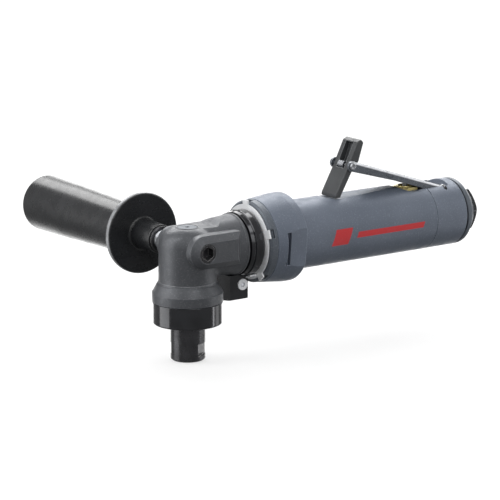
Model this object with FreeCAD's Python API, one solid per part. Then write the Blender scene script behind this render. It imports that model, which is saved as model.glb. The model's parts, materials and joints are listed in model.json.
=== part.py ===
import FreeCAD, Part
import math
import os

from FreeCAD import Vector

# Right-angle pneumatic die grinder with a side handle.
# Millimetres. Every piece is drawn about the point where the motor axis (X, air
# inlet at +X) crosses the spindle axis (Z, collet at -Z). place() then lifts the
# whole tool so that the frame's origin is the mouth of the collet bore.

# ---------------------------------------------------------------- driving sizes
AXIS_HEIGHT = 68.0            # motor axis above the collet mouth

# angle head
HEAD_R = 18.1                 # upright part of the head
HEAD_RIM_R = 21.85            # widened rim above the clamp nut
HEAD_BOTTOM = -31.3
HEAD_TOP = 15.2
HEAD_FLAT = 14.6              # flat along the top of the head
TOP_PLUG_R = 6.2
HEAD_REAR = 33.4              # rear shoulder of the barrel
SHANK_R = 16.5                # threaded rear shank of the head
SHANK_END = 57.8
SIDE_PORT_HEIGHT = 2.07       # axis of the side port and of the handle stud
BOSS_FACE = 22.5              # flat face of each side boss, from the spindle axis
BOSS_HALF = 6.5
CREASE_R = 4.0                # blend between the barrel and the upright
STUD_R = 5.9                  # handle stud and side ports

# bevel gears
MODULE = 1.5
PINION_TEETH = 13
GEAR_TEETH = 17
TOOTH_FACE = 5.0

# spindle line
NUT_R = 21.7                  # bearing clamp nut
NUT_TOP = -31.4
NUT_BOTTOM = -44.9
SPINDLE_BEARING = (-24.5, -15.5)
COLLET_NUT_R = 10.75
COLLET_NUT_TOP = -47.0
SHANK_BORE_R = 3.175          # 1/4 in tool shank

# neck
CLAMP_FRONT, CLAMP_REAR = 34.6, 43.6
CLAMP_R = 20.8
LUG_FRONT = 29.5
SHANK_CLEAR_R = 16.7
WASHER_FRONT, WASHER_REAR = 43.8, 44.8
COUPLING_FRONT, COUPLING_REAR = 45.0, 49.8

# motor
HOUSING_FRONT = 50.0
HOUSING_REAR = 180.0
HOUSING_R = 22.0
HOUSING_BORE_R = 19.0
COLLAR_R = 28.0
MOTOR_BORE_END = 153.0
CYLINDER_FRONT, CYLINDER_REAR = 86.0, 142.0
ROTOR_R = 13.4
VANES = 5
CYLINDER_BORE_R = 15.2
BORE_OFFSET = -1.5            # cylinder bore below the rotor axis

# rear end
REAR_FRONT, REAR_END = 180.2, 205.0
CAP_FRONT, CAP_END = 206.2, 215.6
INLET_END = 220.0
INLET_THREAD_R = 7.35         # tapping bore of a 3/8 in pipe thread
GALLERY_ANGLES = (45, 0, -65, -90, -115, 180, 135)
GALLERY_RING_R = 18.9
SCREW_ANGLES = (20, 160, 220, 320)
SCREW_RING_R = 15.5

# throttle
LEVER_PIN = (194.3, 18.4)     # X, Z of the lever's rear pin
LOCK_PIN = (119.5, 40.4)      # X, Z of the lock lever's pin
LEVER_HALF = 9.6
LEVER_WALL = 1.5
LEVER_SLOPE = 0.3344          # fall of the lever's top line per unit of X
LEVER_TOP_AT_FRONT = (124.1, 42.87)
LOCK_HALF = 7.7
VALVE_X = 170.0
VALVE_BORE_R = 5.0
VALVE_FLAT = 18.8             # height of the flat that the valve bushing sits on
STEM_R = 1.8

# side handle, along Y at the side port height
FLANGE_Y = 49.4
FLANGE_R = 25.7
GRIP_END = 168.5

RUNNING = 0.06                # radial running clearance

ORIGIN = Vector(0, 0, 0)
AXES = {"X": Vector(1, 0, 0), "Y": Vector(0, 1, 0), "Z": Vector(0, 0, 1)}


# ---------------------------------------------------------------- small helpers
def on_axis(axis, along, radius):
    """The point at a distance along an axis and at a radius from it."""
    return {"X": Vector(along, 0, radius), "Y": Vector(radius, along, 0),
            "Z": Vector(radius, 0, along)}[axis]


def outline(corners, place):
    """Closed wire through corners (u, v) or (u, v, rounding)."""
    full = [tuple(c) + (0,) * (3 - len(c)) for c in corners]
    joints = []
    for i, (u, v, rounding) in enumerate(full):
        here = Vector(u, v, 0)
        before = Vector(*full[i - 1][:2], 0) - here
        after = Vector(*full[(i + 1) % len(full)][:2], 0) - here
        if not rounding:
            joints.append((here, None, here))
            continue
        before.normalize()
        after.normalize()
        half = before.getAngle(after) / 2
        middle = before + after
        middle.normalize()
        reach = rounding / math.tan(half)
        crown = here + middle * (rounding / math.sin(half) - rounding)
        joints.append((here + before * reach, crown, here + after * reach))
    edges = []
    for i, (entry, crown, leave) in enumerate(joints):
        if crown:
            edges.append(Part.Arc(*[place(p) for p in (entry, crown, leave)]).toShape())
        following = joints[(i + 1) % len(joints)][0]
        if (following - leave).Length > 1e-6:
            edges.append(Part.LineSegment(place(leave), place(following)).toShape())
    return Part.Wire(edges)


def turned(axis, corners):
    """Solid of revolution from corners (along the axis, radius, rounding)."""
    wire = outline(corners, lambda p: on_axis(axis, p.x, p.y))
    return Part.Face(wire).revolve(ORIGIN, AXES[axis], 360)


def tube(axis, start, end, outer, inner=0.0):
    """Plain tube or rod along an axis."""
    body = Part.makeCylinder(outer, end - start, AXES[axis] * start, AXES[axis])
    if inner:
        hole = Part.makeCylinder(inner, end - start + 2, AXES[axis] * (start - 1), AXES[axis])
        body = body.cut(hole)
    return body


def rod(start, end, radius):
    """Round rod between two points."""
    line = end - start
    return Part.makeCylinder(radius, line.Length, start, line)


def side_plate(corners, y_from, y_to):
    """Prism from an outline in X and Z, between two Y values."""
    wire = outline(corners, lambda p: Vector(p.x, y_from, p.y))
    return Part.Face(wire).extrude(Vector(0, y_to - y_from, 0))


def block(x, y, z):
    """Box from pairs of limits."""
    return Part.makeBox(x[1] - x[0], y[1] - y[0], z[1] - z[0], Vector(x[0], y[0], z[0]))


def hexagon(axis, start, end, across_flats, turn=0.0):
    """Hexagonal bar along an axis."""
    corner = across_flats / math.sqrt(3)
    points = []
    for i in range(7):
        angle = math.radians(turn + 60 * i)
        a, b = corner * math.cos(angle), corner * math.sin(angle)
        points.append({"X": Vector(start, a, b), "Y": Vector(a, start, b),
                       "Z": Vector(a, b, start)}[axis])
    return Part.Face(Part.makePolygon(points)).extrude(AXES[axis] * (end - start))


def ring_of(shape, axis, angles):
    """Copies of a shape turned about an axis."""
    copies = []
    for angle in angles:
        copy = shape.copy()
        copy.rotate(ORIGIN, AXES[axis], angle)
        copies.append(copy)
    return copies


def even(count, first=0.0):
    """Evenly spaced angles round a circle."""
    return [first + 360.0 * i / count for i in range(count)]


def moved(shape, x=0.0, y=0.0, z=0.0):
    copy = shape.copy()
    copy.translate(Vector(x, y, z))
    return copy


def gallery_holes(start, end, radius):
    """The exhaust passages that run along the housings."""
    hole = moved(tube("X", start, end, radius), y=GALLERY_RING_R)
    return ring_of(hole, "X", GALLERY_ANGLES)


def coil_spring(start, end, mean_r, wire_r, turns):
    """Round-wire coil about the Z axis between two heights."""
    height = end - start - 2 * wire_r
    path = Part.makeHelix(height / turns, height, mean_r)
    section = Part.Wire([Part.makeCircle(wire_r, Vector(mean_r, 0, 0), Vector(0, 1, 0))])
    coil = Part.Wire(path).makePipeShell([section], True, True)
    return moved(coil, z=start + wire_r)


PIECES = {}


def keep(name, shape):
    """Register a piece under its node name."""
    PIECES[name] = shape


# ---------------------------------------------------------------- bearings
def ball_bearing(axis, start, end, bore_r, outer_r, ball_r, balls):
    """Outer race, inner race and balls of a deep-groove bearing."""
    pitch_r = (bore_r + outer_r) / 2
    middle = (start + end) / 2
    land = 0.55 * ball_r
    groove = Part.makeTorus(pitch_r, ball_r + RUNNING, AXES[axis] * middle, AXES[axis])
    outer = tube(axis, start, end, outer_r, pitch_r + land).cut(groove)
    inner = tube(axis, start, end, pitch_r - land, bore_r).cut(groove)
    ball = Part.makeSphere(ball_r, on_axis(axis, middle, pitch_r))
    return outer, inner, ring_of(ball, axis, even(balls))


def make_bearings():
    outer, inner, balls = ball_bearing("Z", *SPINDLE_BEARING, 7.5, 16.0, 2.38, 9)
    keep("spindle_bearing_outer_race", outer)
    keep("spindle_bearing_inner_race", inner)
    keep("spindle_bearing_balls", Part.makeCompound(balls))

    pairs = [ball_bearing("X", start, start + 8, 6.0, 14.0, 2.38, 8) for start in (17.5, 31.0)]
    keep("pinion_bearing_outer_races", Part.makeCompound([p[0] for p in pairs]))
    keep("pinion_bearing_inner_races", Part.makeCompound([p[1] for p in pairs]))
    keep("pinion_bearing_balls", Part.makeCompound([b for p in pairs for b in p[2]]))

    pairs = [ball_bearing("X", 76.5, 84.5, 5.0, 13.0, 2.38, 8),
             ball_bearing("X", 144.5, 151.5, 4.0, 11.0, 1.98, 8)]
    keep("rotor_bearing_outer_races", Part.makeCompound([p[0] for p in pairs]))
    keep("rotor_bearing_inner_races", Part.makeCompound([p[1] for p in pairs]))
    keep("rotor_bearing_balls", Part.makeCompound([b for p in pairs for b in p[2]]))

    keep("needle_bearing_shell", tube("Z", 3.6, 12.2, 6.0, 5.2))
    roller = moved(tube("Z", 4.4, 11.4, 0.5), x=4.62)
    keep("needle_rollers", Part.makeCompound(ring_of(roller, "Z", even(14))))


# ---------------------------------------------------------------- bevel gears
def bevel_teeth(count, mate_count, blank):
    """Straight bevel gear about +Z with its pitch cone's apex at the origin.

    A tooth is centred on the local +X side. blank is the rest of the outline behind
    the teeth, as corners (distance from the apex, radius)."""
    cone = math.atan2(count, mate_count)
    outer = MODULE * count / 2 / math.sin(cone)
    inner = outer - TOOTH_FACE
    addendum, dedendum = 0.8 * MODULE, 1.15 * MODULE
    pitch_half = 0.2 * math.pi * MODULE
    flank = math.tan(math.radians(22))

    def section(distance, root_depth):
        scale = distance / outer
        corners = []
        for rise, side in ((-root_depth, -1), (addendum, -1), (addendum, 1), (-root_depth, 1)):
            half = pitch_half - rise * flank
            radius = outer * math.sin(cone) + rise * math.cos(cone)
            along = outer * math.cos(cone) - rise * math.sin(cone)
            corners.append(Vector(radius, side * half, along) * scale)
        return Part.makePolygon(corners + corners[:1])

    depth = dedendum + 0.3
    tooth = Part.makeLoft([section(inner, depth), section(outer, depth)], True, True)

    def root(distance):
        along = outer * math.cos(cone) + dedendum * math.sin(cone)
        radius = outer * math.sin(cone) - dedendum * math.cos(cone)
        return along * distance / outer, radius * distance / outer

    solid = turned("Z", [(root(inner)[0], 0), root(inner), root(outer)] + blank)
    for copy in ring_of(tooth, "Z", even(count)):
        solid = solid.fuse(copy)
    return solid


def make_gears():
    gear = bevel_teeth(GEAR_TEETH, PINION_TEETH, [(13.4, 11.8), (13.9, 9.0), (15.5, 9.0), (15.5, 0)])
    gear.rotate(ORIGIN, AXES["X"], 180)
    bore = tube("Z", -16, 0, 5.0).fuse(tube("Z", -8.6, 0, 6.7))
    keep("bevel_gear", gear.cut(bore))
    ring = tube("Z", -8.6, -7.6, 6.6, 4.5).cut(block((0, 8), (-1.5, 1.5), (-9, -7)))
    keep("gear_retaining_ring", ring)

    pinion = bevel_teeth(PINION_TEETH, GEAR_TEETH, [(15.0, 8.4), (17.4, 8.4), (17.4, 0)])
    pinion.rotate(ORIGIN, AXES["Z"], 180.0 / PINION_TEETH)
    pinion.rotate(ORIGIN, AXES["Y"], 90)
    pinion = pinion.fuse(tube("X", 17.0, 46.4, 6.0)).fuse(hexagon("X", 46.0, 53.0, 9.0))
    keep("bevel_pinion", pinion.removeSplitter())
    keep("pinion_spacer", tube("X", 25.5, 31.0, 7.6, 6.0))
    keep("pinion_lock_nut", hexagon("X", 39.0, 43.0, 17.0).cut(tube("X", 38, 44, 6.0)))
    retainer = tube("X", 39.1, 43.0, 14.0, 10.4)
    notch = block((41.0, 44.0), (9.0, 15.0), (-1.5, 1.5))
    for copy in ring_of(notch, "X", even(4)):
        retainer = retainer.cut(copy)
    keep("pinion_bearing_retainer", retainer)


# ---------------------------------------------------------------- angle head
def boss_wire(radius, end, y):
    """Side boss outline: round about the port, square at the rear."""
    z = SIDE_PORT_HEIGHT
    top, bottom = Vector(0, y, z + radius), Vector(0, y, z - radius)
    far_top, far_bottom = Vector(end, y, z + radius), Vector(end, y, z - radius)
    return Part.Wire([Part.Arc(top, Vector(-radius, y, z), bottom).toShape(),
                      Part.LineSegment(bottom, far_bottom).toShape(),
                      Part.LineSegment(far_bottom, far_top).toShape(),
                      Part.LineSegment(far_top, top).toShape()])


def side_boss(side):
    """Raised pad with sloped edges round a threaded side port."""
    base_y, face_y = side * (BOSS_FACE - 3.9), side * BOSS_FACE
    base = boss_wire(BOSS_HALF + 3.8, 26.4, base_y)
    face = boss_wire(BOSS_HALF, 22.6, face_y)
    root = Part.Face(base).extrude(Vector(0, -side * 12, 0))
    return root.fuse(Part.makeLoft([base, face], True, True))


def make_head():
    upright = turned("Z", [(HEAD_BOTTOM, 0), (HEAD_BOTTOM, HEAD_R), (HEAD_TOP, 17.4, 11.5), (HEAD_TOP, 0)])
    barrel = turned("X", [(-2, 0), (-2, 14.4), (4, 16.5, 8.0), (31.8, 18.8), (32.3, 19.35, 0.2),
                          (HEAD_REAR, 19.3, 0.2), (HEAD_REAR, SHANK_R),
                          (SHANK_END, SHANK_R), (SHANK_END, 0)])
    rim = turned("Z", [(HEAD_BOTTOM, 0), (HEAD_BOTTOM, HEAD_RIM_R, 0.3), (-25.4, HEAD_RIM_R, 0.3),
                       (-25.0, 21.4), (-20.2, 18.9), (-19.7, 18.35, 0.3), (-18.6, HEAD_R), (-18.6, 0)])
    body = upright.fuse(barrel)
    creases = [e for e in body.Edges
               if e.Length > 20 and e.CenterOfMass.z < -5 and 5 < e.CenterOfMass.x < 18]
    body = body.makeFillet(CREASE_R, creases).fuse(rim)
    for side in (-1, 1):
        body = body.fuse(side_boss(side))
    body = body.cut(side_plate([(-25, HEAD_FLAT), (15.8, HEAD_FLAT, 3.0), (23.4, 18.7), (23.4, 25),
                                (-25, 25)], -15, 15))
    body = body.fuse(turned("Z", [(13.0, 0), (13.0, 7.3), (HEAD_FLAT, 7.3), (15.0, 6.9), (15.0, 0)]))

    body = body.cut(tube("Z", HEAD_BOTTOM - 1, SPINDLE_BEARING[0], 17.2))
    body = body.cut(tube("Z", SPINDLE_BEARING[0] - 0.1, SPINDLE_BEARING[1], 16.0))
    body = body.cut(tube("Z", SPINDLE_BEARING[1] - 0.1, 0.8, 14.8))
    body = body.cut(tube("Z", 0.7, 3.6, 4.8))
    body = body.cut(tube("Z", 3.6, 12.4, 6.0))
    body = body.cut(turned("Z", [(12.4, 0), (12.4, TOP_PLUG_R), (14.6, TOP_PLUG_R),
                                 (15.1, 6.7), (15.1, 0)]))
    pinion_room = turned("X", [(7.2, 0), (7.2, 9.4), (15.5, 12.2), (17.5, 12.2), (17.5, 0)])
    body = body.cut(pinion_room).cut(tube("X", 17.5, SHANK_END + 1, 14.0))
    port = moved(tube("Y", -BOSS_FACE - 1, -14.6, STUD_R), z=SIDE_PORT_HEIGHT)
    stud_hole = moved(tube("Y", 12.6, BOSS_FACE + 1, STUD_R), z=SIDE_PORT_HEIGHT)
    keep("head_housing", body.cut(port).cut(stud_hole))

    plug = turned("Z", [(12.4, 0), (12.4, TOP_PLUG_R), (14.5, TOP_PLUG_R), (14.9, 5.8), (14.9, 0)])
    keep("head_top_plug", plug.cut(hexagon("Z", 13.4, 16, 2.5)))

    plug = turned("Y", [(-15.0, 0), (-15.0, STUD_R), (-22.0, STUD_R), (-22.4, STUD_R - 0.4), (-22.4, 0)])
    plug = plug.cut(hexagon("Y", -23.0, -17.0, 7.6, 30.0))
    keep("side_port_plug", moved(plug, z=SIDE_PORT_HEIGHT))


# ---------------------------------------------------------------- spindle line
def make_spindle():
    spindle = turned("Z", [(11.6, 0), (11.6, 3.8), (11.2, 4.08), (-6.0, 4.08), (-6.4, 5.0), (-7.6, 5.0),
                           (-7.6, 4.5), (-8.6, 4.5), (-8.6, 5.0), (-15.5, 5.0), (-15.5, 7.5),
                           (-24.5, 7.5), (-24.5, 9.4), (-28.0, 9.4), (-28.0, 8.0), (-46.4, 8.0),
                           (-46.4, 9.0), (-46.9, 9.0), (-46.9, 7.6), (-61.5, 7.6), (-61.5, 5.79),
                           (-50.0, 4.6), (-49.0, 3.5), (-40.0, 3.5), (-38.5, 0)])
    keep("spindle", spindle)

    nut = turned("Z", [(-68.0, 4.88), (-68.0, 9.9), (-67.2, COLLET_NUT_R, 0.3),
                       (COLLET_NUT_TOP - 0.5, COLLET_NUT_R, 0.2), (COLLET_NUT_TOP, 10.2),
                       (COLLET_NUT_TOP, 7.6), (-62.6, 7.6), (-64.3, 6.1), (-65.7, 4.88)])
    for angle in (-53.0, 127.0):
        flat = block((8.75, 12.0), (-8.0, 8.0), (-64.9, -57.0))
        flat.rotate(ORIGIN, AXES["Z"], angle)
        nut = nut.cut(flat)
    keep("collet_nut", nut)

    collet = turned("Z", [(-68.0, SHANK_BORE_R), (-68.0, 4.5), (-67.7, 4.8), (-65.75, 4.8),
                          (-64.35, 6.0), (-63.6, 6.0), (-50.2, 4.62), (-50.2, SHANK_BORE_R)])
    slit = block((2.0, 8.0), (-0.35, 0.35), (-69.0, -53.5))
    for copy in ring_of(slit, "Z", even(3)):
        collet = collet.cut(copy)
    keep("collet", collet)

    nut = turned("Z", [(NUT_BOTTOM, 8.5), (NUT_BOTTOM, NUT_R, 0.9), (NUT_TOP, NUT_R, 0.3),
                       (NUT_TOP, 17.2), (-24.5, 17.2), (-24.5, 13.6), (-30.0, 13.6),
                       (-30.0, 11.5), (-36.0, 11.5), (-36.0, 8.5)])
    hole = moved(tube("Z", NUT_BOTTOM - 1, NUT_BOTTOM + 4, 2.0), x=16.5)
    for copy in ring_of(hole, "Z", even(4, 45)):
        nut = nut.cut(copy)
    keep("bearing_clamp_nut", nut)
    keep("spindle_seal", tube("Z", -35.9, -30.6, 11.5, 8.0 + RUNNING))


# ---------------------------------------------------------------- neck
def make_neck():
    ring = turned("X", [(CLAMP_FRONT, SHANK_CLEAR_R), (CLAMP_FRONT, 19.7, 0.3), (36.7, 20.3),
                        (36.9, 20.0), (37.2, 20.0), (37.6, CLAMP_R), (42.6, CLAMP_R),
                        (CLAMP_REAR, 20.2), (CLAMP_REAR, SHANK_CLEAR_R)])
    corners = [(-3.0, -10.0), (-3.0, -35.3, 0.9), (16.8, -38.0, 2.4), (17.8, -9.0)]
    lug_wire = outline(corners, lambda p: Vector(LUG_FRONT, p.x, p.y))
    lug = Part.Face(lug_wire).extrude(Vector(CLAMP_REAR - 0.5 - LUG_FRONT, 0, 0))
    lug = lug.cut(tube("X", LUG_FRONT - 1, CLAMP_REAR + 1, SHANK_CLEAR_R))
    lug = lug.cut(tube("X", LUG_FRONT - 1, CLAMP_FRONT + 0.3, 19.8))
    ring = ring.fuse(lug)
    ring = ring.cut(block((LUG_FRONT - 1, 48), (12.6, 13.4), (-42, -10)))
    screw_x, screw_z = 39.1, -26.0
    for y_from, y_to, radius in ((-4, 20, 2.5), (-4, 1.6, 3.9)):
        ring = ring.cut(rod(Vector(screw_x, y_from, screw_z), Vector(screw_x, y_to, screw_z), radius))
    keep("neck_clamp_ring", ring)

    head = tube("Y", -3.4, 1.6, 3.6).cut(hexagon("Y", -4.0, -1.0, 3.0))
    screw = head.fuse(tube("Y", 1.6, 17.2, 2.5))
    keep("neck_clamp_screw", moved(screw, x=screw_x, z=screw_z))

    washer = tube("X", WASHER_FRONT, WASHER_REAR, 23.5, SHANK_CLEAR_R)
    tab = block((WASHER_FRONT, WASHER_REAR), (20.0, 26.2), (-2.7, 2.7))
    for copy in ring_of(tab, "X", even(5, 88)):
        washer = washer.fuse(copy)
    tongue = block((39.4, WASHER_REAR), (21.2, 22.2), (-2.6, 2.6))
    tongue.rotate(ORIGIN, AXES["X"], -112)
    keep("tab_lock_washer", washer.fuse(tongue))

    nut = turned("X", [(COUPLING_FRONT, SHANK_R), (COUPLING_FRONT, 24.7, 0.3), (46.0, 25.7, 0.4),
                       (COUPLING_REAR, 26.0), (COUPLING_REAR, SHANK_R)])
    notch = block((COUPLING_FRONT - 1, 48.2), (24.0, 28.0), (-2.9, 2.9))
    for copy in ring_of(notch, "X", even(5, 88)):
        nut = nut.cut(copy)
    keep("coupling_nut", nut)
    keep("head_adapter", tube("X", HOUSING_FRONT, 58.0, HOUSING_BORE_R, SHANK_R))


# ---------------------------------------------------------------- motor
def make_motor():
    keep("motor_clamp_sleeve", tube("X", 58.0, 76.5, HOUSING_BORE_R, 15.0))
    front = tube("X", 76.5, CYLINDER_FRONT, HOUSING_BORE_R, 6.0)
    keep("front_end_plate", front.cut(tube("X", 76.0, 84.5, 13.0)))
    rear = tube("X", CYLINDER_REAR, 151.5, HOUSING_BORE_R, 5.0)
    rear = rear.cut(tube("X", 144.5, 152.0, 11.0))
    for side in (-1, 1):
        rear = rear.cut(moved(tube("X", 141.0, 152.0, 2.0), y=side * 13.2, z=-1.5))
    keep("rear_end_plate", rear)
    keep("motor_spring_washer", tube("X", 151.5, MOTOR_BORE_END, 18.6, 15.6))

    cylinder = tube("X", CYLINDER_FRONT, CYLINDER_REAR, HOUSING_BORE_R)
    cylinder = cylinder.cut(moved(tube("X", CYLINDER_FRONT - 1, CYLINDER_REAR + 1, CYLINDER_BORE_R),
                                  z=BORE_OFFSET))
    for x in (98.0, 106.0, 114.0, 122.0, 130.0):
        cylinder = cylinder.cut(block((x, x + 3.5), (9.0, 20.0), (-9.0, -3.0)))
    keep("motor_cylinder", cylinder)

    rotor = tube("X", CYLINDER_FRONT + 0.4, CYLINDER_REAR - 0.4, ROTOR_R)
    slot = block((80.0, 150.0), (-1.0, 1.0), (6.4, 15.0))
    for copy in ring_of(slot, "X", even(VANES)):
        rotor = rotor.cut(copy)
    rotor = rotor.fuse(hexagon("X", 53.6, 60.5, 9.0)).fuse(tube("X", 60.4, 87.0, 5.0))
    keep("rotor", rotor.fuse(tube("X", CYLINDER_REAR - 1.0, 151.2, 4.0)))
    vane = block((CYLINDER_FRONT + 0.6, CYLINDER_REAR - 0.6), (-0.95, 0.95), (6.5, ROTOR_R - 0.1))
    keep("rotor_vanes", Part.makeCompound(ring_of(vane, "X", even(VANES))))
    keep("drive_coupling", tube("X", 46.6, 60.4, 8.0).cut(hexagon("X", 46, 61, 9.0)))


def lever_top(x):
    """Height of the throttle lever's top line at rest."""
    return LEVER_TOP_AT_FRONT[1] - LEVER_SLOPE * (x - LEVER_TOP_AT_FRONT[0])


def lever_room():
    """Trench in the housings for the throttle lever's side walls and rear end."""
    trench = side_plate([(163.2, 30), (163.2, 20.9), (175, 17.9), (185, 15.7), (197.0, 15.7, 1.5),
                         (199.4, 23.0), (199.4, 30)], -LEVER_HALF - 0.4, LEVER_HALF + 0.4)
    return trench.cut(block((150, HOUSING_REAR), (-7.5, 7.5), (10, VALVE_FLAT)))


def make_motor_housing():
    body = turned("X", [(HOUSING_FRONT, 0), (HOUSING_FRONT, 26.2, 0.5), (66.4, COLLAR_R, 3.0),
                        (71.8, COLLAR_R, 0.8), (72.6, HOUSING_R, 1.5),
                        (HOUSING_REAR - 0.3, HOUSING_R), (HOUSING_REAR, HOUSING_R - 0.3),
                        (HOUSING_REAR, 0)])
    for side in (90, 270):
        groove = block((56.8, 60), (-10.5, 10.5), (22.6, 32))
        flat = groove.fuse(block((59.9, 90), (-13, 13), (25.2, 32)))
        flat.rotate(ORIGIN, AXES["X"], side + 5)
        body = body.cut(flat)
    pocket = side_plate([(100.5, 22.0), (106.5, 20.25), (160.0, 21.9), (160.0, 30), (100.5, 30)], -14, 14)
    body = body.cut(pocket).cut(lever_room())
    body = body.cut(moved(tube("Z", VALVE_FLAT, 30, 11.2), x=VALVE_X))

    body = body.cut(tube("X", HOUSING_FRONT - 1, MOTOR_BORE_END, HOUSING_BORE_R))
    body = body.cut(tube("X", MOTOR_BORE_END - 1, 158.0, 15.8))
    body = body.cut(moved(tube("Z", -14.0, 13.0, VALVE_BORE_R), x=VALVE_X))
    body = body.cut(moved(tube("Z", 12.9, 21.0, 6.0), x=VALVE_X))
    body = body.cut(moved(tube("X", VALVE_X, HOUSING_REAR + 1, 3.5), z=-8.0))
    body = body.cut(moved(tube("X", 157.0, VALVE_X, 3.2), z=3.0))
    for hole in gallery_holes(90.0, HOUSING_REAR + 1, 1.6):
        body = body.cut(hole)
    screw_hole = moved(tube("X", 168.0, HOUSING_REAR + 1, 1.5), y=SCREW_RING_R)
    for hole in ring_of(screw_hole, "X", SCREW_ANGLES):
        body = body.cut(hole)
    keep("motor_housing", body)


# ---------------------------------------------------------------- rear end
def make_rear_end():
    body = turned("X", [(REAR_FRONT, 0), (REAR_FRONT, 21.65), (REAR_FRONT + 0.3, 21.95),
                        (REAR_END, 21.9, 0.4), (REAR_END, 0)])
    body = body.cut(lever_room())
    pin_hole = rod(Vector(LEVER_PIN[0], -16, LEVER_PIN[1]), Vector(LEVER_PIN[0], 16, LEVER_PIN[1]), 1.2)
    body = body.cut(pin_hole)
    body = body.cut(moved(tube("X", REAR_FRONT - 1, 190.0, 3.5), z=-8.0))
    body = body.cut(tube("X", 186.0, 195.5, 7.0)).cut(tube("X", 195.4, REAR_END + 1, 9.5))
    for hole in gallery_holes(REAR_FRONT - 1, REAR_END + 1, 1.6):
        body = body.cut(hole)
    screw_hole = moved(tube("X", REAR_FRONT - 1, REAR_END + 1, 1.5), y=SCREW_RING_R)
    screw_seat = moved(tube("X", REAR_END - 3.2, REAR_END + 1, 2.8), y=SCREW_RING_R)
    for hole in ring_of(screw_hole.fuse(screw_seat), "X", SCREW_ANGLES):
        body = body.cut(hole)
    keep("rear_housing", body)

    head = tube("X", REAR_END - 3.2, REAR_END - 0.2, 2.7).cut(hexagon("X", REAR_END - 1.8, REAR_END, 2.5))
    screw = moved(head.fuse(tube("X", 168.5, REAR_END - 3.2, 1.5)), y=SCREW_RING_R)
    keep("housing_screws", Part.makeCompound(ring_of(screw, "X", SCREW_ANGLES)))

    gasket = tube("X", REAR_END, CAP_FRONT, 20.9, 9.6)
    for hole in gallery_holes(REAR_END - 1, CAP_FRONT + 1, 1.7):
        gasket = gasket.cut(hole)
    keep("rear_gasket", gasket)

    cap = turned("X", [(CAP_FRONT, 9.6), (CAP_FRONT, 21.8, 0.4), (209.0, 21.8, 1.2), (CAP_END, 15.7, 1.0),
                       (CAP_END, 9.6)])
    cap = cap.cut(tube("X", CAP_FRONT - 1, 210.4, 18.6, 11.0))
    vent = moved(tube("X", 209.5, CAP_END + 1, 1.3), y=16.6)
    for hole in ring_of(vent, "X", even(16)):
        cap = cap.cut(hole)
    keep("exhaust_cap", cap)
    keep("exhaust_muffler", tube("X", CAP_FRONT + 0.3, 210.2, 18.4, 11.2))

    shape = turned("X", [(CAP_END + 0.1, 0), (CAP_END + 0.1, 15.0), (INLET_END - 1.0, 15.0),
                         (INLET_END, 13.2), (INLET_END, 0)])
    bushing = shape.common(hexagon("X", CAP_END, INLET_END + 1, 26.6, 172.0))
    bushing = bushing.fuse(tube("X", 195.6, CAP_END + 0.2, 9.5))
    bushing = bushing.cut(tube("X", 195.0, 205.0, 5.5)).cut(tube("X", 204.0, INLET_END + 1, INLET_THREAD_R))
    keep("inlet_bushing", bushing)

    screen = tube("X", 193.8, 195.4, 7.0)
    mesh_hole = tube("X", 193.0, 196.0, 0.75)
    for ring_r, count in ((0.0, 1), (2.4, 6), (4.8, 12)):
        for hole in ring_of(moved(mesh_hole, y=ring_r), "X", even(count)):
            screen = screen.cut(hole)
    keep("inlet_screen", screen)


# ---------------------------------------------------------------- throttle
def make_valve():
    shoulder, top = 20.9, 21.5
    cap = hexagon("Z", VALVE_FLAT + 0.05, shoulder, 15.0)
    cap = cap.common(turned("Z", [(VALVE_FLAT, 0), (VALVE_FLAT, 8.8), (shoulder - 0.9, 8.8),
                                  (shoulder, 7.2), (shoulder, 0)]))
    cap = cap.fuse(turned("Z", [(shoulder - 1, 0), (shoulder - 1, 5.0), (top - 0.3, 5.0),
                                (top, 4.7), (top, 0)]))
    bushing = cap.fuse(tube("Z", 13.0, VALVE_FLAT + 0.2, 6.0)).fuse(tube("Z", 11.0, 13.1, VALVE_BORE_R))
    bushing = bushing.cut(tube("Z", 10, top + 1, STEM_R + RUNNING))
    bushing = bushing.cut(turned("Z", [(top - 0.8, 0), (top - 0.8, 3.0), (top + 0.1, 3.8), (top + 0.1, 0)]))
    bushing = bushing.cut(tube("Z", 10.5, 12.8, 3.5))
    keep("valve_bushing", moved(bushing, x=VALVE_X))
    keep("valve_stem_seal", moved(tube("Z", 11.1, 12.7, 3.5, STEM_R + RUNNING), x=VALVE_X))
    keep("valve_seat", moved(tube("Z", -4.0, -2.0, VALVE_BORE_R, 2.8), x=VALVE_X))
    plunger = turned("Z", [(-6.4, 0), (-6.4, 3.8), (-4.4, 3.8), (-4.2, 3.4), (-4.2, STEM_R),
                           (25.4, STEM_R, 1.79), (25.4, 0)])
    keep("valve_plunger", moved(plunger, x=VALVE_X))
    keep("valve_spring", moved(coil_spring(-13.95, -6.45, 3.2, 0.45, 4.5), x=VALVE_X))


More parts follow.
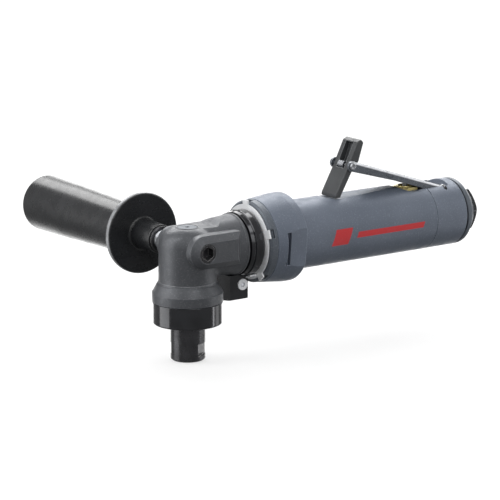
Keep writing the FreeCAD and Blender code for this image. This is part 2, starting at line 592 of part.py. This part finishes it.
def make_throttle_lever():
    front_x, front_z = LOCK_PIN
    rear_x, rear_z = LEVER_PIN
    side = side_plate([(front_x, front_z + 3.4), (rear_x + 0.6, lever_top(rear_x + 0.6)),
                       (rear_x + 1.0, 16.6), (184.0, 17.7, 6.0), (158.0, 26.3, 30.0),
                       (front_x, front_z - 3.4)], -LEVER_HALF, LEVER_HALF)
    for (x, z), radius in ((LOCK_PIN, 3.4), (LEVER_PIN, 2.0)):
        ear = rod(Vector(x, -LEVER_HALF, z), Vector(x, LEVER_HALF, z), radius)
        side = side.fuse(ear)
    side = side.removeSplitter()
    web_front, web_rear, web = 139.0, 190.0, LEVER_WALL + 0.2
    inside = LEVER_HALF - LEVER_WALL
    hollow = side_plate([(100, 60), (web_front, 60, 0), (web_front, lever_top(web_front) - web),
                         (web_rear, lever_top(web_rear) - web), (web_rear, 40), (210, 40), (210, 5),
                         (100, 5)], -inside, inside)
    lever = side.cut(hollow)
    edges = [e for e in lever.Edges if is_lever_crown(e)]
    lever = lever.makeFillet(1.1, edges)
    for (x, z) in (LOCK_PIN, LEVER_PIN):
        radius = 1.5 if (x, z) == LOCK_PIN else 1.2 + RUNNING
        lever = lever.cut(rod(Vector(x, -20, z), Vector(x, 20, z), radius))
    keep("throttle_lever", lever)
    keep("lever_pin", rod(Vector(rear_x, -11.9, rear_z), Vector(rear_x, 11.9, rear_z), 1.2))

    pin = turned("Y", [(-10.1, 0), (-10.1, 0.9), (-10.6, 1.1), (-10.6, 1.8), (-10.2, 2.4), (-9.7, 2.4),
                       (-9.7, 1.5), (9.7, 1.5), (9.7, 2.4), (10.2, 2.4), (10.6, 1.8), (10.6, 1.1),
                       (10.1, 0.9), (10.1, 0)])
    keep("lock_lever_pin", moved(pin, x=front_x, z=front_z))


def is_lever_crown(edge):
    """True for the two long outer edges along the lever's top."""
    middle = edge.CenterOfMass
    near_top = abs(middle.z - lever_top(middle.x)) < 0.6
    return edge.Length > 60 and near_top and abs(abs(middle.y) - LEVER_HALF) < 0.01


def make_lock_lever():
    x, z = LOCK_PIN
    body = side_plate([(107.7, 21.0, 0.4), (108.0, 23.2, 0.5), (117.2, 39.6, 4.0), (124.8, 55.2, 1.5),
                       (127.9, 56.6, 1.0), (129.8, 54.5, 1.3), (126.0, 42.8, 1.5), (120.8, 36.9, 2.5),
                       (112.3, 22.4, 0.8), (111.7, 21.0, 0.4)], -LOCK_HALF, LOCK_HALF)
    outer_edges = [e for e in body.Edges
                   if abs(abs(e.CenterOfMass.y) - LOCK_HALF) < 0.01
                   and e.Length > 3 and e.CenterOfMass.z > 24]
    body = body.makeFillet(0.7, outer_edges)
    window = side_plate([(105, 50), (117.4, 41.2), (123.2, 41.2, 1.0), (127.4, 53.4, 1.2), (118, 58)],
                        -3.8, 3.8)
    body = body.cut(window)
    body = body.cut(rod(Vector(x, -3.8, z), Vector(x, 3.8, z), 3.1))
    body = body.cut(rod(Vector(x, -20, z), Vector(x, 20, z), 1.5 + RUNNING))
    keep("lock_lever", body)

    coil = coil_spring(-3.0, 3.0, 2.35, 0.35, 6)
    coil.rotate(ORIGIN, AXES["X"], -90)
    coil.rotate(ORIGIN, AXES["Y"], -90)
    leg = rod(Vector(2.3, -2.65, 0.3), Vector(5.6, -2.65, 8.5), 0.35)
    keep("lock_spring", moved(coil.fuse(leg), x=x, z=z))


# ---------------------------------------------------------------- side handle
def make_handle():
    grip = turned("Y", [(29.7, 0), (29.7, 8.9, 0.5), (FLANGE_Y, 9.8, 1.6), (FLANGE_Y, FLANGE_R, 1.3),
                        (53.0, FLANGE_R, 1.3), (54.6, 17.0, 2.0), (58.0, 15.4, 2.0), (91.0, 16.3, 40.0),
                        (128.0, 17.6, 60.0), (GRIP_END, 18.4, 2.6), (GRIP_END, 0)])
    grip = grip.cut(tube("Y", 29.0, 62.0, STUD_R)).cut(tube("Y", 29.0, 52.0, 7.4))
    keep("handle_grip", moved(grip, z=SIDE_PORT_HEIGHT))
    keep("handle_insert", moved(tube("Y", 29.7, 52.0, 7.4, STUD_R), z=SIDE_PORT_HEIGHT))
    keep("handle_stud", moved(tube("Y", 12.8, 60.0, STUD_R), z=SIDE_PORT_HEIGHT))
    ring = turned("Y", [(27.9, STUD_R), (27.9, 7.6), (28.3, 8.1), (29.2, 8.1), (29.6, 7.7), (29.6, STUD_R)])
    keep("handle_washer", moved(ring, z=SIDE_PORT_HEIGHT))


make_head()
make_bearings()
make_gears()
make_spindle()
make_neck()
make_motor()
make_motor_housing()
make_rear_end()
make_valve()
make_throttle_lever()
make_lock_lever()
make_handle()

os.makedirs("parts", exist_ok=True)
for name, shape in PIECES.items():
    moved(shape, z=AXIS_HEIGHT).exportStep("parts/" + name + ".step")
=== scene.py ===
import json
import math

import bpy
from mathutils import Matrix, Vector


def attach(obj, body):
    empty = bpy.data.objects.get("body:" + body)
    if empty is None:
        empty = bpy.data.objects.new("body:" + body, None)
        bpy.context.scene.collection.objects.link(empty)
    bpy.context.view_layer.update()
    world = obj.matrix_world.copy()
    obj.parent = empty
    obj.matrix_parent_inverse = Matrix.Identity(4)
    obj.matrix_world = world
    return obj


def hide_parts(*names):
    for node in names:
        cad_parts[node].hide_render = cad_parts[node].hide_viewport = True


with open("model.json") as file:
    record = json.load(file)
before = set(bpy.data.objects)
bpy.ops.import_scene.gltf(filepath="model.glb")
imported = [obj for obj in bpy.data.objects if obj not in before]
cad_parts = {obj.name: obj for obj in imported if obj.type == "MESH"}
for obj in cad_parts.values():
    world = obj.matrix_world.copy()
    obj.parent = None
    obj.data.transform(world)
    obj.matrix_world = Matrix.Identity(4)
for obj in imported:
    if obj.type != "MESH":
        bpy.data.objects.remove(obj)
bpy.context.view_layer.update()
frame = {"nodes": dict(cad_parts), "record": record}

# Looks of a right-angle pneumatic die grinder. Metres, in the CAD model's own frame:
# +X to the air inlet, +Y to the side handle, +Z up, origin at the collet mouth.
MM = 0.001
TOOL = "tool_body"

# the object's own measures
AXIS_HEIGHT = 68.0 * MM          # motor axis above the collet mouth
STUD_HEIGHT = 70.07 * MM         # axis of the side handle
FLANGE_RADIUS = 25.7 * MM        # hand guard at the root of the side handle
LEVER_SLOPE = 0.3264             # fall of the throttle lever's top line per unit of X
LEVER_TOP = AXIS_HEIGHT + 82.80 * MM   # where that line would pass over the origin
TUBE_RADIUS = 22.0 * MM

# red print on the motor tube: middle and half size along X, middle and half size round the tube
PRINT_SLANT = -0.35
PRINT = ((103 * MM, 6.5 * MM, -0.8 * MM, 5.2 * MM),
         (142 * MM, 27 * MM, -0.8 * MM, 1.9 * MM))

# the scene round it
VIEW_AZIMUTH = -125.5            # degrees from +X round to the camera
CAMERA_AT = (-0.80565, -1.19659, 0.39569)
CAMERA_AIM = (0.04687, 0.0, 0.06228)
CAMERA_LENS = 174.65
LIGHT_AIM = (0.06, 0.0, 0.06)
FLOOR_MIDDLE = 0.05
FLOOR_HEIGHT = -0.5 * MM


# ---------------------------------------------------------------- materials
def srgb(red, green, blue):
    """Linear colour from 0-255 display values."""
    def linear(value):
        value /= 255.0
        return value / 12.92 if value <= 0.04045 else ((value + 0.055) / 1.055) ** 2.4
    return (linear(red), linear(green), linear(blue), 1.0)


class Finish:
    """A procedural surface in the making: colour, roughness, bump and lighter edges, which stand for wear
    on some pieces and are a painted highlight on others.
    """

    def __init__(self, name, metallic=0.0, coat=0.0, coat_roughness=0.1, specular=0.5):
        self.material = bpy.data.materials.new(name)
        self.material.use_nodes = True
        self.nodes = self.material.node_tree.nodes
        self.links = self.material.node_tree.links
        self.shader = self.nodes["Principled BSDF"]
        self.shader.inputs["Metallic"].default_value = metallic
        self.shader.inputs["Coat Weight"].default_value = coat
        self.shader.inputs["Coat Roughness"].default_value = coat_roughness
        self.shader.inputs["Specular IOR Level"].default_value = specular
        self.place = self.add("ShaderNodeTexCoord").outputs["Object"]
        self.normal = None
        self.colour = None

    def add(self, kind, inputs=None, **settings):
        node = self.nodes.new(kind)
        for key, value in settings.items():
            setattr(node, key, value)
        for key, value in (inputs or {}).items():
            self.put(node.inputs[key], value)
        return node

    def put(self, socket, value):
        """Link a socket to another one, or set it."""
        if isinstance(value, bpy.types.NodeSocket):
            self.links.new(value, socket)
        else:
            socket.default_value = value

    def noise(self, size, detail=2.0, rough=0.5):
        """Noise whose features are about size metres across."""
        return self.add("ShaderNodeTexNoise", {"Vector": self.place, "Scale": 1.0 / size,
                                               "Detail": detail, "Roughness": rough}).outputs["Fac"]

    def coordinate(self, axis):
        return self.add("ShaderNodeSeparateXYZ", {0: self.place}).outputs["XYZ".index(axis)]

    def lathe_marks(self, axis, size):
        """Fine rings left by turning, along one axis."""
        return self.add("ShaderNodeTexNoise", {"W": self.coordinate(axis), "Scale": 1.0 / size,
                                               "Detail": 3.0}, noise_dimensions="1D").outputs["Fac"]

    def maths(self, operation, first, second=0.0, third=0.0):
        return self.add("ShaderNodeMath", {0: first, 1: second, 2: third},
                        operation=operation).outputs[0]

    def times(self, first, second):
        return self.maths("MULTIPLY", first, second)

    def spread(self, value, low, high, to_low=0.0, to_high=1.0, smooth=False):
        """Map low..high to to_low..to_high, held at the ends."""
        kind = "SMOOTHSTEP" if smooth else "LINEAR"
        return self.add("ShaderNodeMapRange", {"Value": value, "From Min": low, "From Max": high,
                                               "To Min": to_low, "To Max": to_high},
                        interpolation_type=kind).outputs["Result"]

    def patchy(self, size, low, high, detail=3.0):
        """A mask that wanders between low and high over patches of one size."""
        return self.spread(self.noise(size, detail), 0.3, 0.6, low, high)

    def blend(self, factor, first, second):
        # sockets 0, 6 and 7 are the factor and the two colours of a colour mix
        node = self.add("ShaderNodeMix", data_type="RGBA")
        for index, value in ((0, factor), (6, first), (7, second)):
            self.put(node.inputs[index], value)
        return node.outputs[2]

    def mottle(self, dark, light, size, low=0.35, high=0.65):
        """Base colour that wanders between two tones."""
        self.colour = self.blend(self.spread(self.noise(size, 4.0), low, high), dark, light)

    def tint(self, mask, colour):
        self.colour = self.blend(mask, self.colour, colour)

    def round_edges(self, radius):
        """Softens sharp edges and returns a mask that is 1 along them."""
        bevel = self.add("ShaderNodeBevel", {"Radius": radius}, samples=6).outputs["Normal"]
        flat = self.add("ShaderNodeNewGeometry").outputs["Normal"]
        across = self.add("ShaderNodeVectorMath", {0: bevel, 1: flat},
                          operation="DOT_PRODUCT").outputs["Value"]
        self.normal = bevel
        return self.spread(across, 0.985, 0.86)

    def bump(self, height, depth, strength=1.0):
        inputs = {"Height": height, "Distance": depth, "Strength": strength}
        if self.normal is not None:
            inputs["Normal"] = self.normal
        self.normal = self.add("ShaderNodeBump", inputs).outputs["Normal"]

    def roughness(self, value, low, high):
        self.links.new(self.spread(value, 0.35, 0.65, low, high), self.shader.inputs["Roughness"])

    def done(self):
        if self.colour is not None:
            self.links.new(self.colour, self.shader.inputs["Base Color"])
        if self.normal is not None:
            self.links.new(self.normal, self.shader.inputs["Normal"])
        return self.material


def cast_paint(name, dark, light, wear_and_highlight, grain=0.9 * MM, depth=0.05 * MM, gloss=(0.38, 0.52),
               metallic=0.25, edge=0.45 * MM, wear_and_highlight_range=(0.35, 0.9)):
    """Fine-grained satin coat over a casting or moulding, lighter along its edges; on the throttle lever
    that edge tone is a painted highlight, elsewhere it is wear.
    """
    f = Finish(name, metallic=metallic)
    edges = f.round_edges(edge)
    f.mottle(dark, light, 45 * MM, 0.3, 0.7)
    speckle = f.spread(f.noise(grain, 3.0, rough=0.7), 0.56, 0.7)
    f.tint(f.times(speckle, 0.35), wear_and_highlight)
    # edge tone: a painted highlight on the throttle lever, wear on the other pieces
    f.tint(f.times(edges, f.patchy(6 * MM, *wear_and_highlight_range)), wear_and_highlight)
    f.bump(f.noise(grain, 4.0, rough=0.65), depth, 0.55)
    f.bump(f.noise(0.28 * MM, 2.0), 0.012 * MM, 0.6)
    f.roughness(f.noise(5 * MM, 3.0), *gloss)
    return f


def turned_steel(name, dark, light, axis, gloss=(0.2, 0.34), metallic=1.0, wear_and_highlight=None, coat=0.0,
                 marks=0.006 * MM):
    """Machined steel with turning rings round an axis, smudges and polished edges."""
    f = Finish(name, metallic=metallic, coat=coat, coat_roughness=0.08)
    edges = f.round_edges(0.3 * MM)
    f.mottle(dark, light, 9 * MM)
    rings = f.lathe_marks(axis, 0.35 * MM)
    f.tint(f.times(f.spread(rings, 0.4, 0.75), 0.3), light)
    if wear_and_highlight:
        f.tint(f.times(edges, f.patchy(4 * MM, 0.4, 1.0)), wear_and_highlight)
    f.bump(rings, marks, 0.8)
    f.roughness(f.noise(3.5 * MM, 4.0), *gloss)
    return f


def moulded(name, dark, light, wear_and_highlight, gloss, grain=0.35 * MM, depth=0.02 * MM, waves=0.1 * MM,
            edge=0.4 * MM):
    """Injection-moulded plastic or rubber with a spark-eroded texture."""
    f = Finish(name)
    edges = f.round_edges(edge)
    f.mottle(dark, light, 18 * MM)
    # lighter edges: wear on rubber, vanes and felt, a painted highlight on the grip and the lock lever
    f.tint(f.times(edges, 0.55), wear_and_highlight)
    f.bump(f.noise(grain, 3.0, rough=0.6), depth, 0.5)
    f.bump(f.noise(22 * MM, 1.0), waves, 0.35)
    f.roughness(f.noise(7 * MM, 3.0), *gloss)
    return f


def marked_housing():
    """The motor housing's coat with a plain red print on the side away from the handle."""
    f = cast_paint("housing_composite_marked", *HOUSING)
    height = f.maths("SUBTRACT", f.coordinate("Z"), AXIS_HEIGHT)
    side = f.times(f.coordinate("Y"), -1.0)
    round_way = f.times(f.maths("ARCTAN2", height, side), TUBE_RADIUS)
    along = f.maths("ADD", f.coordinate("X"), f.times(round_way, PRINT_SLANT))

    def band(value, centre, half):
        away = f.maths("ABSOLUTE", f.maths("SUBTRACT", value, centre))
        return f.spread(away, half - 0.1 * MM, half + 0.1 * MM, 1.0, 0.0)

    block, bar = (f.times(band(along, x, x_half), band(round_way, v, v_half))
                  for x, x_half, v, v_half in PRINT)
    rubbed = f.spread(f.noise(0.8 * MM, 3.0), 0.25, 0.4, 0.75, 1.0)
    f.tint(f.times(f.maths("MAXIMUM", block, bar), rubbed), srgb(196, 48, 52))
    return f.done()


def lever_paint(name):
    """Grey coat of the throttle lever, with a near-white painted highlight along its edges."""
    return cast_paint(name, srgb(84, 89, 96), srgb(98, 103, 110), srgb(205, 208, 213), grain=0.5 * MM,
                      depth=0.02 * MM, gloss=(0.26, 0.38), metallic=0.5, edge=0.6 * MM, wear_and_highlight_range=(0.3, 0.7))


def lever_painted_highlight():
    """The throttle lever's paint, with a near-white painted highlight along the two upper corners of its
    channel.
    """
    f = lever_paint("lever_painted_highlight_look")
    top = f.maths("MULTIPLY_ADD", f.coordinate("X"), -LEVER_SLOPE, LEVER_TOP)
    below = f.maths("SUBTRACT", top, f.coordinate("Z"))
    near_top = f.spread(below, 1.3 * MM, 1.7 * MM, 1.0, 0.0)
    outside = f.spread(f.maths("ABSOLUTE", f.coordinate("Y")), 9.0 * MM, 9.3 * MM)
    corner = f.times(near_top, outside)
    # painted highlight along the upper corners of the channel
    f.tint(f.times(corner, f.patchy(5 * MM, 0.7, 0.95, detail=2.0)), srgb(236, 238, 242))
    return f.done()


def handle_plastic():
    """Smooth black grip with painted highlights along its edges and round the outer edge of its flange.
    """
    # the light edge tone (200, 202, 205) is a painted highlight
    f = moulded("handle_black_look", srgb(29, 30, 32), srgb(36, 37, 39), srgb(200, 202, 205), (0.24, 0.3),
                depth=0.006 * MM, waves=0.04 * MM, edge=0.6 * MM)
    height = f.maths("SUBTRACT", f.coordinate("Z"), STUD_HEIGHT)
    x = f.coordinate("X")
    radius = f.maths("SQRT", f.maths("ADD", f.times(x, x), f.times(height, height)))
    painted_rim_highlight = f.spread(radius, FLANGE_RADIUS - 0.6 * MM, FLANGE_RADIUS - 0.1 * MM)
    # painted highlight round the flange's outer edge
    f.tint(f.times(painted_rim_highlight, f.patchy(9 * MM, 0.25, 0.6, detail=2.0)), srgb(190, 192, 195))
    return f.done()


HOUSING = (srgb(94, 102, 115), srgb(108, 116, 129), srgb(158, 164, 174))
MATERIALS = {
    "housing_composite": cast_paint("housing_composite_look", *HOUSING).done(),
    "head_cast": cast_paint("head_cast_look", srgb(72, 74, 78), srgb(86, 88, 92), srgb(150, 152, 155),
                            grain=0.8 * MM, depth=0.06 * MM, gloss=(0.36, 0.5), metallic=0.35).done(),
    "cap_grey": cast_paint("cap_grey_look", srgb(80, 86, 94), srgb(96, 102, 110),
                           srgb(140, 146, 154)).done(),
    "lever_grey": lever_paint("lever_grey_look").done(),
    "black_gloss": turned_steel("black_gloss_look", srgb(34, 35, 38), srgb(46, 47, 51), "Z", (0.12, 0.22),
                                metallic=0.6, wear_and_highlight=srgb(90, 92, 96), coat=0.6, marks=0.002 * MM).done(),
    "black_oxide": turned_steel("black_oxide_look", srgb(58, 58, 60), srgb(74, 74, 77), "Z", (0.24, 0.36),
                                metallic=0.7, wear_and_highlight=srgb(170, 168, 166), marks=0.004 * MM).done(),
    "bare_steel": turned_steel("bare_steel_look", srgb(150, 152, 156), srgb(186, 188, 192), "X",
                               wear_and_highlight=srgb(215, 217, 220)).done(),
    "zinc_steel": turned_steel("zinc_steel_look", srgb(232, 234, 237), srgb(248, 249, 251), "X",
                               (0.28, 0.42), metallic=0.2, wear_and_highlight=srgb(250, 250, 252)).done(),
    "bearing_steel": turned_steel("bearing_steel_look", srgb(176, 178, 182), srgb(206, 208, 212), "X",
                                  (0.08, 0.18), marks=0.001 * MM).done(),
    "brass": turned_steel("brass_look", srgb(244, 222, 140), srgb(252, 238, 178), "Z", (0.16, 0.28),
                          wear_and_highlight=srgb(255, 250, 222), metallic=0.5).done(),
    "aluminium": turned_steel("aluminium_look", srgb(178, 180, 184), srgb(204, 206, 210), "X",
                              (0.28, 0.4)).done(),
    # the lock lever's light edge tone is a painted highlight
    "lock_plastic": moulded("lock_plastic_look", srgb(54, 56, 58), srgb(64, 66, 68), srgb(196, 200, 204),
                            (0.34, 0.46), edge=0.6 * MM).done(),
    "handle_black": handle_plastic(),
    "rubber_black": moulded("rubber_black_look", srgb(20, 20, 21), srgb(28, 28, 29), srgb(50, 50, 52),
                            (0.55, 0.7)).done(),
    "vane_composite": moulded("vane_composite_look", srgb(96, 66, 40), srgb(124, 90, 56),
                              srgb(150, 120, 84), (0.45, 0.6)).done(),
    "felt": moulded("felt_look", srgb(150, 146, 138), srgb(186, 182, 172), srgb(200, 196, 188),
                    (0.85, 0.95), grain=0.9 * MM, depth=0.3 * MM).done(),
}


def dress(node, material):
    materials = frame["nodes"][node].data.materials
    materials.clear()
    materials.append(material)


for part in frame["record"]["subparts"]:
    dress(part["node"], MATERIALS[part["material_slot"]])
dress("motor_housing", marked_housing())
dress("throttle_lever", lever_painted_highlight())
dress("lock_lever_pin", MATERIALS["bare_steel"])
dress("side_port_plug", MATERIALS["black_oxide"])
dress("coupling_nut", MATERIALS["cap_grey"])


# ---------------------------------------------------------------- threaded pieces
def angles(count):
    return [2 * math.pi * j / count for j in range(count)]


def closed_grid(name, rings, material, loop):
    """Mesh from rings of points. loop joins the last ring to the first; otherwise both ends get a cap."""
    count = len(rings[0])
    points = [p for ring in rings for p in ring]
    faces = []
    for i in range(len(rings) if loop else len(rings) - 1):
        here, there = i * count, (i + 1) % len(rings) * count
        for j in range(count):
            following = (j + 1) % count
            faces.append((here + j, here + following, there + following, there + j))
    if not loop:
        faces += [tuple(reversed(range(count))), tuple(range(len(points) - count, len(points)))]
    mesh = bpy.data.meshes.new(name)
    mesh.from_pydata(points, [], faces)
    mesh.validate()
    mesh.shade_smooth()
    mesh.set_sharp_from_angle(angle=math.radians(32))
    mesh.materials.append(material)
    piece = bpy.data.objects.new(name, mesh)
    bpy.context.scene.collection.objects.link(piece)
    return piece


def thread_wave(along, angle, pitch):
    """Rounded 60-degree thread form, 0 at the root and 1 at the crest."""
    phase = (along / pitch - angle / (2 * math.pi)) % 1.0
    return min(1.0, max(0.0, 1.18 * (1 - abs(2 * phase - 1)) - 0.09))


def handle_stud():
    """Threaded stud that joins the side handle to the head."""
    start, end, crest, depth, pitch = 12.8, 60.0, 5.88, 1.07, 1.75
    end_chamfer, rows_per_turn, columns = 1.2, 10, 40
    rows = int((end - start) / pitch * rows_per_turn)
    rings = []
    for i in range(rows + 1):
        y = start + (end - start) * i / rows
        chamfer = max(0.0, 1.0 - min(y - start, end - y) / end_chamfer)
        ring = []
        for angle in angles(columns):
            radius = crest - depth * max(1 - thread_wave(y, angle, pitch), chamfer)
            ring.append((radius * math.cos(angle) * MM, y * MM,
                         STUD_HEIGHT + radius * math.sin(angle) * MM))
        rings.append(ring)
    piece = closed_grid("threaded_handle_stud", rings, MATERIALS["bare_steel"], loop=False)
    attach(piece, TOOL)
    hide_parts("handle_stud")


def inlet_bushing():
    """Hexagonal air inlet with chamfered corners and a pipe thread inside."""
    front, shank, shank_end = 195.7, 9.45, 215.7
    flats, turn, corner, chamfer_start, chamfer_slope = 13.3, 172.0, 15.0, 219.0, 1.8
    mouth, thread_end, pitch, bore, depth = 219.98, 204.6, 1.41, 7.4, 0.95
    mouth_radius, mouth_slope, air_hole, thread_rows = 9.2, 0.9, 5.55, 120
    around = angles(144)

    def ring(x, radius_at):
        return [(x * MM, radius_at(angle) * math.cos(angle) * MM,
                 AXIS_HEIGHT + radius_at(angle) * math.sin(angle) * MM) for angle in around]

    def hexagon(x):
        limit = min(corner, corner - chamfer_slope * (x - chamfer_start))

        def radius_at(angle):
            off_corner = (math.degrees(angle) - turn) % 60.0 - 30.0
            return min(flats / math.cos(math.radians(off_corner)), limit)
        return radius_at

    def thread(x):
        funnel = max(0.0, mouth_radius - mouth_slope * (mouth - x))
        return lambda angle: max(bore + depth * (1 - thread_wave(x, -angle, pitch)), funnel)

    def plain(radius):
        return lambda angle: radius

    hexagon_rows = [215.75] + [216.4 + 0.4 * i for i in range(6)] + [218.8 + 0.15 * i for i in range(9)]
    rings = [ring(front, plain(shank)), ring(shank_end, plain(shank))]
    rings += [ring(x, hexagon(x)) for x in hexagon_rows]
    for i in range(thread_rows):
        x = mouth - (mouth - thread_end) * i / thread_rows
        rings.append(ring(x, thread(x)))
    rings += [ring(thread_end, plain(bore)), ring(204.1, plain(bore)), ring(204.0, plain(air_hole)),
              ring(front, plain(air_hole))]
    piece = closed_grid("threaded_inlet_bushing", rings, MATERIALS["black_gloss"], loop=True)
    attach(piece, TOOL)
    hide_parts("inlet_bushing")


handle_stud()
inlet_bushing()


# ---------------------------------------------------------------- floor, light and camera
def floor():
    """Pale floor that fades to plain white away from the tool. Only the camera sees it."""
    radius, rings, count = 6.0, 24, 64
    points = [(FLOOR_MIDDLE, 0.0, FLOOR_HEIGHT)]
    for i in range(1, rings + 1):
        r = radius * (i / rings) ** 2
        points += [(FLOOR_MIDDLE + r * math.cos(angle), r * math.sin(angle), FLOOR_HEIGHT)
                   for angle in angles(count)]
    faces = [(0, 1 + j, 1 + (j + 1) % count) for j in range(count)]
    for i in range(rings - 1):
        a, b = 1 + i * count, 1 + (i + 1) * count
        faces += [(a + j, b + j, b + (j + 1) % count, a + (j + 1) % count) for j in range(count)]
    mesh = bpy.data.meshes.new("floor")
    mesh.from_pydata(points, [], faces)
    f = Finish("floor_paper", specular=0.1)
    f.mottle((0.86, 0.86, 0.86, 1), (0.88, 0.88, 0.88, 1), 0.3)
    f.roughness(f.noise(0.05), 0.85, 0.95)
    away = f.add("ShaderNodeVectorMath", {0: f.place}, operation="LENGTH").outputs["Value"]
    far = f.spread(away, 0.15, 0.9, 0.55, 1.0, smooth=True)
    glow = f.add("ShaderNodeEmission", {"Color": (1, 1, 1, 1), "Strength": 1.1}).outputs[0]
    mixed = f.add("ShaderNodeMixShader", {0: far, 1: f.shader.outputs[0], 2: glow}).outputs[0]
    f.links.new(mixed, f.nodes["Material Output"].inputs["Surface"])
    mesh.materials.append(f.done())
    piece = bpy.data.objects.new("floor", mesh)
    bpy.context.scene.collection.objects.link(piece)
    piece.visible_glossy = piece.visible_diffuse = piece.visible_shadow = False


def softbox(name, turn, lift, distance, width, height, radiance):
    """Soft light aimed at the tool. turn is the angle round from the camera towards the picture's
    right, and lift the angle above the horizon, both in degrees."""
    around = math.radians(VIEW_AZIMUTH + turn)
    up = math.radians(lift)
    away = Vector((math.cos(around) * math.cos(up), math.sin(around) * math.cos(up), math.sin(up)))
    lamp = bpy.data.lights.new(name, "AREA")
    lamp.shape = "RECTANGLE"
    lamp.size, lamp.size_y = width, height
    lamp.energy = radiance * math.pi * width * height
    piece = bpy.data.objects.new(name, lamp)
    piece.location = Vector(LIGHT_AIM) + away * distance
    piece.rotation_euler = (-away).to_track_quat("-Z", "Y").to_euler()
    piece.visible_camera = False
    bpy.context.scene.collection.objects.link(piece)


def sky():
    """Plain white surroundings, brighter above than below."""
    world = bpy.data.worlds.new("studio")
    world.use_nodes = True
    nodes, links = world.node_tree.nodes, world.node_tree.links
    height = nodes.new("ShaderNodeSeparateXYZ")
    links.new(nodes.new("ShaderNodeTexCoord").outputs["Generated"], height.inputs[0])
    ramp = nodes.new("ShaderNodeMapRange")
    for key, value in (("From Min", -0.6), ("From Max", 0.8), ("To Min", 0.24), ("To Max", 0.45)):
        ramp.inputs[key].default_value = value
    links.new(height.outputs["Z"], ramp.inputs["Value"])
    links.new(ramp.outputs["Result"], nodes["Background"].inputs["Strength"])
    nodes["Background"].inputs["Color"].default_value = (1, 1, 1, 1)
    bpy.context.scene.world = world


def studio():
    #        name           turn lift  far width height radiance
    softbox("key_left",     -80,  12, 1.25, 0.95, 1.5, 2.6)
    softbox("left_high",    -62,  50, 1.2,  0.5,  0.4, 4.0)
    softbox("strip_right",   93,  -4, 1.25, 0.13, 1.6, 4.2)
    softbox("fill_right",   112,   5, 1.5,  0.5,  1.5, 1.0)
    softbox("front_fill",    18,  24, 1.3,  0.9,  0.6, 2.0)
    softbox("front_top",     35,  55, 1.2,  0.5,  0.5, 3.0)
    softbox("back_top",     178,  42, 1.3,  1.8,  0.8, 4.0)
    softbox("back_middle",  180,   4, 1.3,  1.5,  0.42, 2.6)
    softbox("back_low",     180, -24, 1.3,  1.8,  0.5, 1.8)
    sky()
    bpy.context.scene.view_settings.view_transform = "Standard"


def camera():
    data = bpy.data.cameras.new("camera")
    data.lens, data.sensor_width = CAMERA_LENS, 36.0
    piece = bpy.data.objects.new("camera", data)
    piece.location = CAMERA_AT
    aim = Vector(CAMERA_AIM) - piece.location
    piece.rotation_euler = aim.to_track_quat("-Z", "Y").to_euler()
    bpy.context.scene.collection.objects.link(piece)
    bpy.context.scene.camera = piece


floor()
studio()
camera()
